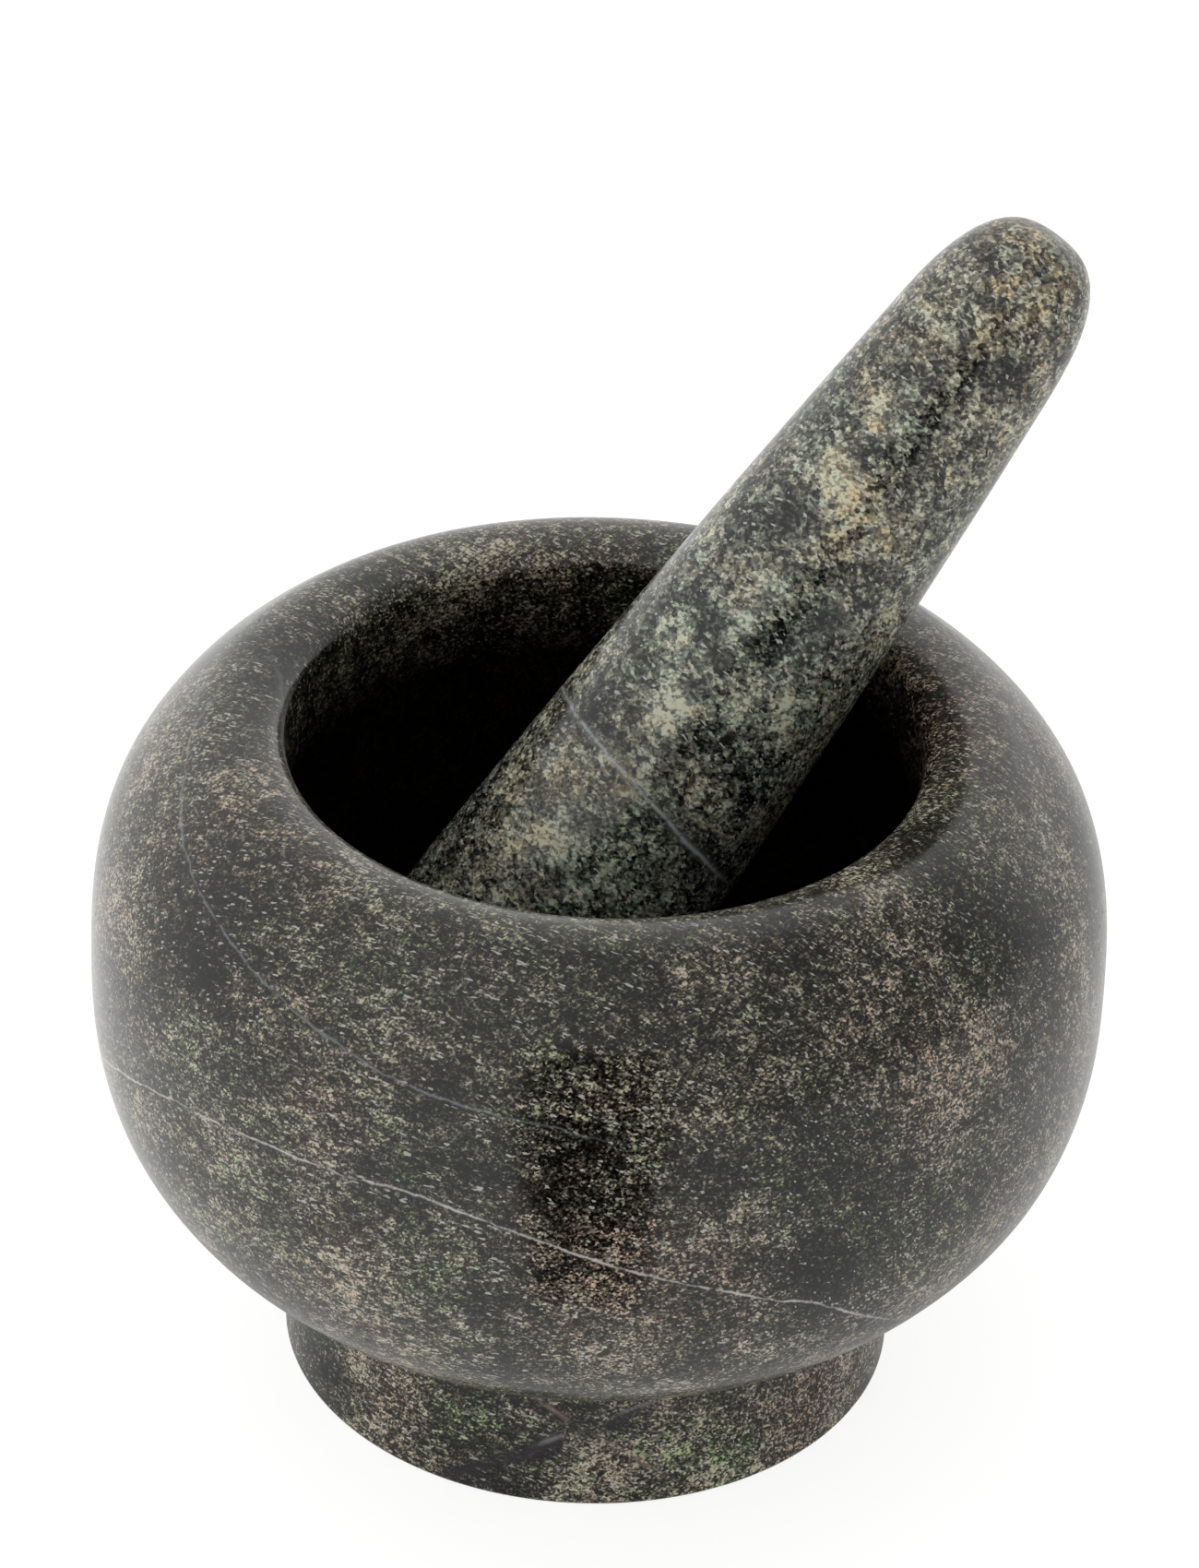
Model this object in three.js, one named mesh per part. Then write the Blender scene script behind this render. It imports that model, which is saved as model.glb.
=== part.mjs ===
// Granite mortar with its loose pestle, at rest with the pestle leaning on the rim.
//
// Millimetres, +Z up. The origin is the centre of the foot's flat underside. Both pieces are round,
// so each is one outline turned about its own axis.

import * as THREE from "three";

// ---- Mortar: one block of stone, a round belly on a short foot, ground out from above ----

const FOOT_RADIUS = 45.8;
const FOOT_TOP_RADIUS = 44.8; // the foot tapers in a little towards the belly
const FOOT_EDGE = 0.8; // rounding where the foot meets the table

const BELLY_RADIUS = 75; // at its widest ring
const BELLY_HEIGHT = 68.5; // of the widest ring above the table
const BELLY_BELOW = { reach: 56, fullness: 2.55 }; // how the wall runs in below that ring
const BELLY_ABOVE = { reach: 54, fullness: 2.9 }; // and above it, where it stays steep for longer

const LIP_START_RADIUS = 59.8; // the wall turns over into the lip here
const LIP_ROUND = 11; // radius of the thick lip's crest
const LIP_FALL = THREE.MathUtils.degToRad(16); // slope of the lip's top, down towards the mouth

const MOUTH_RADIUS = 46.4;
const MOUTH_EDGE = 4; // rounding of the mouth's edge

const CAVITY_RADIUS = 47.5;
const CAVITY_HEIGHT = 84; // of the cavity's widest ring above the table
const CAVITY_BELOW = { reach: 52.2, fullness: 2.2 }; // the round bottom, 32 mm above the table

const MORTAR_SIDES = 64;

// ---- Pestle: one round club of stone, thick at the grinding end ----

const PESTLE_LENGTH = 161.5;
const PESTLE_RADIUS = 21.1; // where the grinding end's dome starts
const PESTLE_DOME = 16.9; // length of that dome
const PESTLE_TIP_RADIUS = 11.5; // what the shaft would taper to, if the crown didn't round it off
const PESTLE_SWELL = 1; // how far the shaft bows out halfway along
const PESTLE_CROWN = { reach: 21.7, fullness: 2.95 }; // the rounded top

// The pestle stands in the bowl with its shaft on the rim and its dome against the cavity's wall.
const PESTLE_PLACE = new THREE.Vector3(-17.2, 2.5, 55.4); // centre of the dome's wide end
const PESTLE_LEAN = THREE.MathUtils.degToRad(37.1); // from upright
const PESTLE_TURN = THREE.MathUtils.degToRad(23.8); // the way it leans, from +X towards +Y

const PESTLE_SIDES = 40;

// ---- Outline helpers: points are (distance from the axis, height along it) ----

// A quarter of a rounded outline, from its widest point (turn 0) to the axis (turn 90 degrees).
// A fullness of 2 is an ellipse, and a higher one keeps the outline wide for longer.
function roundedPoint(radius, reach, acrossFullness, alongFullness, turn) {
  const across = Math.max(Math.cos(turn), 0) ** (2 / acrossFullness);
  const along = Math.sin(turn) ** (2 / alongFullness);
  return new THREE.Vector2(radius * across, reach * along);
}

function steps(from, to, count) {
  return Array.from({ length: count + 1 }, (_, i) => THREE.MathUtils.lerp(from, to, i / count));
}

function arc(centre, radius, from, to, count) {
  return steps(from, to, count).map(
    (angle) => new THREE.Vector2(Math.cos(angle), Math.sin(angle)).multiplyScalar(radius).add(centre),
  );
}

// Turns an outline, listed from one end of the axis to the other, into a closed solid about +Z.
function turned(outline, sides) {
  const last = outline.length - 1;
  outline[0].x = 0;
  outline[last].x = 0;
  return new THREE.LatheGeometry(outline, sides).rotateX(Math.PI / 2);
}

// ---- Mortar ----

function bellyPoint(side, turn) {
  const { reach, fullness } = side;
  const point = roundedPoint(BELLY_RADIUS, reach, 2, fullness, turn);
  point.y = BELLY_HEIGHT + (side === BELLY_ABOVE ? point.y : -point.y);
  return point;
}

function footOutline() {
  const edgeCentre = new THREE.Vector2(FOOT_RADIUS - FOOT_EDGE, FOOT_EDGE);
  return [new THREE.Vector2(0, 0), ...arc(edgeCentre, FOOT_EDGE, -Math.PI / 2, 0, 3)];
}

function bellyOutline() {
  const footTurn = Math.acos(FOOT_TOP_RADIUS / BELLY_RADIUS);
  const lipTurn = Math.acos(LIP_START_RADIUS / BELLY_RADIUS);
  const below = steps(footTurn, 0, 9).map((turn) => bellyPoint(BELLY_BELOW, turn));
  const above = steps(0, lipTurn, 8).map((turn) => bellyPoint(BELLY_ABOVE, turn));
  return [...below, ...above.slice(1)];
}

// The direction in which the belly's wall faces where the lip starts, from +X towards +Y.
function lipStartFacing() {
  const turn = Math.acos(LIP_START_RADIUS / BELLY_RADIUS);
  const power = 2 / BELLY_ABOVE.fullness;
  const rise = BELLY_ABOVE.reach * power * Math.sin(turn) ** (power - 1) * Math.cos(turn);
  return Math.atan2(BELLY_RADIUS * Math.sin(turn), rise);
}

// The lip's crest, its fall towards the mouth and the mouth's rounded edge.
function lipOutline(wallEnd) {
  const facing = lipStartFacing();
  const fallFacing = Math.PI / 2 + LIP_FALL;
  const crestCentre = wallEnd.clone();
  crestCentre.x -= LIP_ROUND * Math.cos(facing);
  crestCentre.y -= LIP_ROUND * Math.sin(facing);
  const crest = arc(crestCentre, LIP_ROUND, facing, fallFacing, 6);

  const fallStart = crest[crest.length - 1];
  const edgeCentre = new THREE.Vector2(MOUTH_RADIUS + MOUTH_EDGE, 0);
  const fallEndRadius = edgeCentre.x + MOUTH_EDGE * Math.cos(fallFacing);
  const fallEndHeight = fallStart.y - (fallStart.x - fallEndRadius) * Math.tan(LIP_FALL);
  edgeCentre.y = fallEndHeight - MOUTH_EDGE * Math.sin(fallFacing);
  return [...crest.slice(1), ...arc(edgeCentre, MOUTH_EDGE, fallFacing, Math.PI, 4)];
}

function cavityOutline() {
  const { reach, fullness } = CAVITY_BELOW;
  return steps(0, Math.PI / 2, 13).map((turn) => {
    const point = roundedPoint(CAVITY_RADIUS, reach, 2, fullness, turn);
    point.y = CAVITY_HEIGHT - point.y;
    return point;
  });
}

function makeMortar() {
  const belly = bellyOutline();
  const lip = lipOutline(belly[belly.length - 1]);
  const outline = [...footOutline(), ...belly, ...lip, ...cavityOutline()];
  const granite = new THREE.MeshStandardMaterial({ color: 0x34362f, roughness: 0.5, metalness: 0 });
  const mortar = new THREE.Mesh(turned(outline, MORTAR_SIDES), granite);
  mortar.name = "mortar";
  return mortar;
}

// ---- Pestle ----

// The shaft's radius at a height above the dome, before the crown rounds it off.
function shaftRadius(height) {
  const along = height / (PESTLE_LENGTH - PESTLE_DOME);
  const swell = 4 * PESTLE_SWELL * along * (1 - along);
  return THREE.MathUtils.lerp(PESTLE_RADIUS, PESTLE_TIP_RADIUS, along) + swell;
}

function pestleOutline() {
  const { reach, fullness } = PESTLE_CROWN;
  const crownStart = PESTLE_LENGTH - PESTLE_DOME - reach;
  const dome = steps(Math.PI / 2, 0, 7).map((turn) => {
    const point = roundedPoint(PESTLE_RADIUS, PESTLE_DOME, 2, 2, turn);
    point.y = -point.y;
    return point;
  });
  const shaft = steps(0, crownStart, 8).map((height) => {
    return new THREE.Vector2(shaftRadius(height), height);
  });
  const crown = steps(0, Math.PI / 2, 10).map((turn) => {
    const point = roundedPoint(1, reach, fullness, fullness, turn);
    point.y += crownStart;
    point.x *= shaftRadius(point.y);
    return point;
  });
  return [...dome, ...shaft.slice(1, -1), ...crown];
}

function makePestle() {
  const granite = new THREE.MeshStandardMaterial({ color: 0x5c6056, roughness: 0.55, metalness: 0 });
  const pestle = new THREE.Mesh(turned(pestleOutline(), PESTLE_SIDES), granite);
  pestle.name = "pestle";
  pestle.position.copy(PESTLE_PLACE);
  pestle.rotation.set(0, PESTLE_LEAN, PESTLE_TURN, "ZYX");
  return pestle;
}

// ---- The set ----

const set = new THREE.Group();
set.name = "mortar_and_pestle";
set.add(makeMortar());
set.add(makePestle());

export default set;
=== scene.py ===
"""A granite mortar and its loose pestle: two turned stones and the studio that they stand in.

Metres, +Z up, with the origin at the centre of the foot's flat underside.
"""

import logging
import math
from dataclasses import dataclass, field, replace
from enum import Enum
from typing import Any, ClassVar, Iterable

import bpy
from mathutils import Euler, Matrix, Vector


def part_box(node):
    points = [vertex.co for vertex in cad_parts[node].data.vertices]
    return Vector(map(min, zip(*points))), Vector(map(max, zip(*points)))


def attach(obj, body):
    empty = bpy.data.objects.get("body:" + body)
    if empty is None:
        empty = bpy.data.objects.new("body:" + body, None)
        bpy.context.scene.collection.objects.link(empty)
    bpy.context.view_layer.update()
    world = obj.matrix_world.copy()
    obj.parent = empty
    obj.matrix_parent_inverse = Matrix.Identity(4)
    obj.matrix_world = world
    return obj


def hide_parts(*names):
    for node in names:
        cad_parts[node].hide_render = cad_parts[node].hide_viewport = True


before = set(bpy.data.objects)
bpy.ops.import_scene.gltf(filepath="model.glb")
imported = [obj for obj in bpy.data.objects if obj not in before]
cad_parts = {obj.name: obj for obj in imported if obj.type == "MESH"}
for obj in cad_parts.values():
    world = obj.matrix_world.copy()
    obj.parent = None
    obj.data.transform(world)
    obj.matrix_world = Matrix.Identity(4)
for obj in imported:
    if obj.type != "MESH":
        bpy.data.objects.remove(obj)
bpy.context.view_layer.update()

MM = 0.001
HALF_TURN = math.pi
QUARTER_TURN = math.pi / 2
ROUND = 2.0  # the fullness of an ellipse

log = logging.getLogger("mortar_and_pestle")

Point = tuple[float, float]
Place = tuple[float, float, float]
Colour = tuple[float, float, float]


class Body(Enum):
    """The two stones that move apart."""

    MORTAR = "mortar"
    PESTLE = "pestle"


class Slot(Enum):
    """The record's material slots."""

    MORTAR = "mortar_granite"
    PESTLE = "pestle_granite"


# ---- Turning a stone ---------------------------------------------------------------------------


def spread(start: float, end: float, count: int) -> list[float]:
    """Gives evenly spaced values.

    Args:
        start: The first value.
        end: The last value.
        count: How many steps lie between them.

    Returns:
        count + 1 values, both ends among them.
    """
    return [start + (end - start) * step / count for step in range(count + 1)]


def between(start: Point, end: Point, share: float) -> Point:
    """Finds a point on the line between two others.

    Args:
        start: The point at share 0.
        end: The point at share 1.
        share: How far along the line the point is.

    Returns:
        The point.
    """
    return start[0] + (end[0] - start[0]) * share, start[1] + (end[1] - start[1]) * share


def arc(centre: Point, radius: float, start: float, end: float, count: int) -> list[Point]:
    """Draws part of a circle in the outline's plane.

    Args:
        centre: The circle's centre, as distance from the axis and height.
        radius: The circle's radius.
        start: The first angle, from outwards towards up.
        end: The last angle.
        count: How many steps the arc has.

    Returns:
        The arc's points.
    """
    angles = spread(start, end, count)
    return [(centre[0] + radius * math.cos(a), centre[1] + radius * math.sin(a)) for a in angles]


def rounded_point(radius: float, reach: float, across: float, along: float, turn: float) -> Point:
    """Finds a point on a quarter of a rounded outline.

    Args:
        radius: The outline's widest radius, at turn 0.
        reach: Its length along the axis, at turn 90 degrees.
        across: Fullness across the axis, where 2 is an ellipse.
        along: Fullness along the axis.
        turn: How far round the quarter the point is, in radians.

    Returns:
        The point's distance from the axis and its distance along it.
    """
    wide = max(math.cos(turn), 0.0) ** (2 / across)
    far = max(math.sin(turn), 0.0) ** (2 / along)
    return radius * wide, reach * far


class TurnedStone:
    """Turns an outline into a closed solid of stone, as on a lathe."""

    SEED_SIZE = 1 * MM
    SAME_POINT = 0.002 * MM

    def __init__(self, name: str, sides: int) -> None:
        """Names the stone and says how many sides the turning has."""
        self.name = name
        self.sides = sides

    def turn(self, outline: Iterable[Point]) -> bpy.types.Object:
        """Extrudes one point along the outline, then spins the line about +Z.

        Args:
            outline: Points from one end of the axis to the other.

        Returns:
            The closed solid, selected and active.
        """
        points = [Vector((distance, 0.0, height)) for distance, height in outline]
        bpy.ops.object.select_all(action="DESELECT")
        bpy.ops.mesh.primitive_plane_add(size=self.SEED_SIZE, location=points[0])
        stone = bpy.context.active_object
        stone.name = self.name
        stone.data.name = self.name
        bpy.ops.object.transform_apply(location=True, rotation=True, scale=True)
        bpy.ops.object.mode_set(mode="EDIT")
        bpy.ops.mesh.select_mode(type="VERT")
        bpy.ops.mesh.select_all(action="SELECT")
        bpy.ops.mesh.merge(type="CENTER")
        for here, there in zip(points, points[1:]):
            bpy.ops.mesh.extrude_region_move(TRANSFORM_OT_translate={"value": there - here})
        bpy.ops.mesh.select_all(action="SELECT")
        bpy.ops.mesh.spin(steps=self.sides, angle=math.tau, center=(0, 0, 0), axis=(0, 0, 1))
        bpy.ops.mesh.select_all(action="SELECT")
        bpy.ops.mesh.remove_doubles(threshold=self.SAME_POINT)
        bpy.ops.mesh.normals_make_consistent(inside=False)
        bpy.ops.object.mode_set(mode="OBJECT")
        bpy.ops.object.shade_smooth()
        return stone

    def grind(self, stone: bpy.types.Object, depth: float, patch: float, above: float) -> None:
        """Takes a shallow, uneven skin off the stone, as grinding by hand leaves it.

        Args:
            stone: The turned solid.
            depth: The most that is taken off.
            patch: The size of the uneven patches.
            above: Nothing is taken off below this height.
        """
        worked = stone.vertex_groups.new(name="worked")
        worked.add([v.index for v in stone.data.vertices if v.co.z > above], 1.0, "REPLACE")
        waves = bpy.data.textures.new(self.name + "_waves", "CLOUDS")
        waves.noise_scale = patch
        waves.noise_depth = 1
        skin = stone.modifiers.new("grinding", "DISPLACE")
        skin.texture = waves
        skin.texture_coords = "LOCAL"
        skin.vertex_group = worked.name
        skin.mid_level = 1.0
        skin.strength = depth
        self._apply(stone, skin)
        stone.vertex_groups.clear()

    @staticmethod
    def _apply(stone: bpy.types.Object, modifier: bpy.types.Modifier) -> None:
        """Applies one modifier to the stone."""
        bpy.ops.object.select_all(action="DESELECT")
        stone.select_set(True)
        bpy.context.view_layer.objects.active = stone
        bpy.ops.object.modifier_apply(modifier=modifier.name)


# ---- Wiring shader nodes -----------------------------------------------------------------------


class Wiring:
    """Adds nodes to one node tree and links them."""

    COLUMN = 190
    ROW = 170
    ROWS = 8

    def __init__(self, tree: bpy.types.NodeTree) -> None:
        """Starts on an empty tree."""
        self.tree = tree
        tree.nodes.clear()

    def add(self, kind: str, inputs: dict[str | int, Any] | None = None, **settings: Any) -> bpy.types.Node:
        """Adds a node.

        Args:
            kind: The node's type name.
            inputs: What each named or numbered input is linked or set to.
            **settings: The node's own properties.

        Returns:
            The new node.
        """
        place = len(self.tree.nodes)
        node = self.tree.nodes.new(kind)
        node.location = (place // self.ROWS * self.COLUMN, -(place % self.ROWS) * self.ROW)
        for name, value in settings.items():
            setattr(node, name, value)
        for name, value in (inputs or {}).items():
            self.feed(node.inputs[name], value)
        return node

    def feed(self, socket: bpy.types.NodeSocket, value: Any) -> None:
        """Links a socket to another, or sets its value.

        Args:
            socket: The input.
            value: An output socket, or a plain value.
        """
        if isinstance(value, bpy.types.NodeSocket):
            self.tree.links.new(value, socket)
        else:
            socket.default_value = value

    def maths(self, operation: str, *values: Any, clamp: bool = False) -> bpy.types.NodeSocket:
        """Adds a Math node and gives its result."""
        node = self.add("ShaderNodeMath", dict(enumerate(values)), operation=operation, use_clamp=clamp)
        return node.outputs[0]

    def vectors(self, operation: str, *values: Any) -> bpy.types.Node:
        """Adds a Vector Math node."""
        return self.add("ShaderNodeVectorMath", dict(enumerate(values)), operation=operation)

    def step(
        self, value: Any, low: Any, high: Any, start: Any = 0.0, end: Any = 1.0
    ) -> bpy.types.NodeSocket:
        """Adds a smooth step.

        Args:
            value: What is read.
            low: Where the step begins.
            high: Where it ends.
            start: The result below low.
            end: The result above high.

        Returns:
            The stepped value.
        """
        inputs = {"Value": value, "From Min": low, "From Max": high, "To Min": start, "To Max": end}
        return self.add("ShaderNodeMapRange", inputs, interpolation_type="SMOOTHSTEP").outputs[0]

    def noise(self, place: Any, scale: Any, detail: float = 2.0, roughness: float = 0.5) -> bpy.types.Node:
        """Adds a Noise Texture node."""
        inputs = {"Vector": place, "Scale": scale, "Detail": detail, "Roughness": roughness}
        return self.add("ShaderNodeTexNoise", inputs, noise_dimensions="3D")

    def mix(self, factor: Any, below: Any, above: Any, blend: str = "MIX") -> bpy.types.NodeSocket:
        """Mixes two colours.

        Args:
            factor: How much of the upper colour shows.
            below: The lower colour.
            above: The upper colour.
            blend: How they are blended.

        Returns:
            The mixed colour.
        """
        inputs = {"Factor": factor, 6: below, 7: above}
        node = self.add("ShaderNodeMix", inputs, data_type="RGBA", blend_type=blend)
        return node.outputs[2]

    def ramp(self, factor: Any, stops: Iterable[tuple[float, Colour]]) -> bpy.types.NodeSocket:
        """Adds a colour ramp.

        Args:
            factor: What the ramp reads.
            stops: Places along the ramp and their colours.

        Returns:
            The ramp's colour.
        """
        node = self.add("ShaderNodeValToRGB", {"Fac": factor})
        elements = node.color_ramp.elements
        while len(elements) > 1:
            elements.remove(elements[-1])
        for index, (place, colour) in enumerate(stops):
            element = elements[0] if index == 0 else elements.new(place)
            element.position = place
            element.color = (*colour, 1.0)
        return node.outputs["Color"]


class EffectGroup:
    """A shader node group with named inputs and outputs, built once and used by both stones."""

    def __init__(self, name: str) -> None:
        """Makes the empty group."""
        self.tree = bpy.data.node_groups.new(name, "ShaderNodeTree")
        self.wiring = Wiring(self.tree)
        self.entry: bpy.types.Node = self.wiring.add("NodeGroupInput")

    def input(self, name: str, value: Any = 0.0) -> bpy.types.NodeSocket:
        """Adds a named input.

        Args:
            name: The input's name.
            value: Its first value: a number, or three for a vector.

        Returns:
            The socket inside the group.
        """
        kind = "NodeSocketVector" if isinstance(value, tuple) else "NodeSocketFloat"
        socket = self.tree.interface.new_socket(name, in_out="INPUT", socket_type=kind)
        socket.default_value = value
        return self.entry.outputs[name]

    def finish(self, **outputs: bpy.types.NodeSocket) -> bpy.types.NodeTree:
        """Adds the named outputs.

        Args:
            **outputs: Each output's name and what it gives.

        Returns:
            The finished group.
        """
        for name in outputs:
            self.tree.interface.new_socket(name, in_out="OUTPUT", socket_type="NodeSocketFloat")
        self.wiring.add("NodeGroupOutput", outputs)
        return self.tree


class StoneEffects:
    """The effects that make up both granites."""

    def __init__(self) -> None:
        """Builds each effect once."""
        self.crystals = self._crystals()
        self.drifts = self._drifts()
        self.patch = self._patch()
        self.vein = self._vein()
        self.polish = self._polish()

    @staticmethod
    def _crystals() -> bpy.types.NodeTree:
        """Builds packed crystals, each with a tone of its own and an uneven outline."""
        group = EffectGroup("packed_crystals")
        place = group.input("Place", (0.0, 0.0, 0.0))
        count = group.input("Crystals per metre", 2000.0)
        raggedness = group.input("Raggedness", 0.6)
        bends_per_crystal = 0.8
        w = group.wiring
        bend = w.noise(place, w.maths("MULTIPLY", count, bends_per_crystal), detail=1.0)
        centred = w.vectors("SUBTRACT", bend.outputs["Color"], (0.5, 0.5, 0.5)).outputs[0]
        shift = w.vectors("SCALE", centred)
        w.feed(shift.inputs["Scale"], w.maths("DIVIDE", raggedness, count))
        bent = w.vectors("ADD", place, shift.outputs[0]).outputs[0]
        cells = w.add("ShaderNodeTexVoronoi", {"Vector": bent, "Scale": count}, feature="F1")
        parts = w.add("ShaderNodeSeparateColor", {0: cells.outputs["Color"]})
        return group.finish(Tone=parts.outputs[0], Kind=parts.outputs[1])

    @staticmethod
    def _drifts() -> bpy.types.NodeTree:
        """Builds the soft drifts in which crystals of one colour gather."""
        group = EffectGroup("mineral_drifts")
        place = group.input("Place", (0.0, 0.0, 0.0))
        count = group.input("Drifts per metre", 60.0)
        contrast = group.input("Contrast", 2.0)
        w = group.wiring
        drift = w.noise(place, count, detail=4.0, roughness=0.62).outputs[0]
        centred = w.maths("MULTIPLY", w.maths("SUBTRACT", drift, 0.5), contrast)
        return group.finish(Drift=w.maths("ADD", centred, 0.5, clamp=True))

    @staticmethod
    def _patch() -> bpy.types.NodeTree:
        """Builds one patch of another colour, with an uneven edge."""
        group = EffectGroup("stone_patch")
        place = group.input("Place", (0.0, 0.0, 0.0))
        centre = group.input("Centre", (0.0, 0.0, 0.0))
        radius = group.input("Radius", 0.01)
        unevenness = group.input("Unevenness", 0.5)
        ragged = 1.5
        full_within, none_beyond = 0.35, 1.15
        w = group.wiring
        distance = w.vectors("DISTANCE", place, centre).outputs["Value"]
        reach = w.maths("DIVIDE", distance, radius)
        uneven = w.maths("MULTIPLY", w.maths("SUBTRACT", unevenness, 0.5), ragged)
        edge = w.maths("ADD", reach, uneven)
        return group.finish(Mask=w.step(edge, full_within, none_beyond, 1.0, 0.0))

    @staticmethod
    def _vein() -> bpy.types.NodeTree:
        """Builds a healed crack: a wandering sheet of pale mineral that breaks up and dies away."""
        group = EffectGroup("healed_crack")
        place = group.input("Place", (0.0, 0.0, 0.0))
        facing = group.input("Facing", (0.0, 0.0, 1.0))
        offset = group.input("Offset", 0.05)
        width = group.input("Width", 0.0004)
        wander = group.input("Wander", 0.003)
        middle = group.input("Middle", (0.0, 0.0, 0.0))
        reach = group.input("Reach", 0.1)
        sway = group.input("Sway", 0.5)
        shiver = group.input("Shiver", 0.5)
        gaps = group.input("Gaps", 0.5)
        breaks = group.input("Breaks", 0.4)
        fine_share = 0.22
        widest, narrowest = 2.4, -0.2
        border_reach, border_strength = 4.0, 0.30
        break_before, break_after = 0.10, 0.14
        fade_from = 0.6
        w = group.wiring
        broad = w.maths("MULTIPLY", w.maths("SUBTRACT", sway, 0.5), wander)
        fine = w.maths("MULTIPLY", w.maths("SUBTRACT", shiver, 0.5), w.maths("MULTIPLY", wander, fine_share))
        along = w.vectors("DOT_PRODUCT", place, facing).outputs["Value"]
        off = w.maths("SUBTRACT", along, offset)
        distance = w.maths("ABSOLUTE", w.maths("ADD", off, w.maths("ADD", broad, fine)))
        swelling = w.maths("MULTIPLY", width, w.maths("MULTIPLY_ADD", gaps, widest, narrowest))
        line = w.step(distance, 0.0, swelling, 1.0, 0.0)
        border_end = w.maths("MULTIPLY", swelling, border_reach)
        border = w.step(distance, swelling, border_end, border_strength, 0.0)
        gone = w.maths("SUBTRACT", breaks, break_before)
        whole = w.maths("ADD", breaks, break_after)
        kept = w.step(gaps, gone, whole)
        away = w.vectors("DISTANCE", place, middle).outputs["Value"]
        near = w.step(away, w.maths("MULTIPLY", reach, fade_from), reach, 1.0, 0.0)
        shown = w.maths("MULTIPLY", kept, near)
        line = w.maths("MULTIPLY", line, shown)
        return group.finish(Mask=line, Halo=w.maths("MULTIPLY", border, shown))

    @staticmethod
    def _polish() -> bpy.types.NodeTree:
        """Builds the finish of ground stone: hard crystals shine more, and tiny pits stay dull."""
        group = EffectGroup("ground_finish")
        place = group.input("Place", (0.0, 0.0, 0.0))
        tone = group.input("Tone", 0.5)
        glossy = group.input("Glossy", 0.25)
        dull = group.input("Dull", 0.45)
        pits = group.input("Pits per metre", 900.0)
        rubs_per_metre, ripples_per_metre = 38.0, 260.0
        tone_share, rub_share = 0.6, 0.4
        pit_rarity = (0.93, 0.97)
        pit_size = (0.12, 0.34)
        pit_roughness = 0.3
        crystal_relief, ripple_relief = 0.35, 0.5
        w = group.wiring
        rubbed = w.noise(place, rubs_per_metre, detail=3.0).outputs[0]
        finish_range = w.maths("SUBTRACT", dull, glossy)
        by_tone = w.maths("MULTIPLY", tone, tone_share)
        by_rubbing = w.maths("MULTIPLY", rubbed, rub_share)
        share = w.maths("ADD", by_tone, by_rubbing, clamp=True)
        smoothness = w.maths("ADD", glossy, w.maths("MULTIPLY", finish_range, share))
        cells = w.add("ShaderNodeTexVoronoi", {"Vector": place, "Scale": pits}, feature="F1")
        chosen = w.add("ShaderNodeSeparateColor", {0: cells.outputs["Color"]}).outputs[2]
        rare = w.step(chosen, *pit_rarity)
        hollow = w.step(cells.outputs["Distance"], *pit_size, 1.0, 0.0)
        pit = w.maths("MULTIPLY", rare, hollow)
        roughness = w.maths("ADD", smoothness, w.maths("MULTIPLY", pit, pit_roughness), clamp=True)
        ripple = w.noise(place, ripples_per_metre, detail=2.0).outputs[0]
        crystals = w.maths("MULTIPLY", tone, crystal_relief)
        relief = w.maths("ADD", crystals, w.maths("MULTIPLY", ripple, ripple_relief))
        height = w.maths("SUBTRACT", relief, pit)
        return group.finish(Roughness=roughness, Height=height, Pit=pit)


# ---- The granites ------------------------------------------------------------------------------


def in_metres(place: Place) -> Place:
    """Turns millimetres into metres."""
    return tuple(side * MM for side in place)


@dataclass(frozen=True)
class Patch:
    """A place where the colour is lighter, darker or of another colour; most are the stone's own, and some
    are painted light and shade.
    """

    centre: Place
    radius: float
    lighter: float = 0.0
    warmer: float = 0.0


@dataclass(frozen=True)
class Vein:
    """A healed crack that lies near a plane through the stone."""

    facing: Place
    offset: float
    colour: Colour
    middle: Place = (0.0, 0.0, 0.0)
    reach: float = 300.0
    width: float = 0.5
    wander: float = 3.0
    breaks: float = 0.4
    strength: float = 0.8


@dataclass(frozen=True)
class EdgeHighlight:
    """A ring of the mouth's edge with a painted pale highlight, where the polished edge reflects light at
    the front left.
    """

    LINE_STRENGTH: ClassVar[float] = 0.8
    BAND_STRENGTH: ClassVar[float] = 0.2
    FADE_FROM: ClassVar[float] = 0.6

    inner: float
    line: float
    outer: float
    above: float
    middle: Place
    reach: float
    colour: Colour


@dataclass(frozen=True)
class Crystals:
    """One layer of crystals: how many to a metre, how long they are and which way they lie."""

    WIDTH_POWER: ClassVar[float] = 0.4

    count: float
    stretch: float
    facing: Place
    raggedness: float = 0.7


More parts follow.
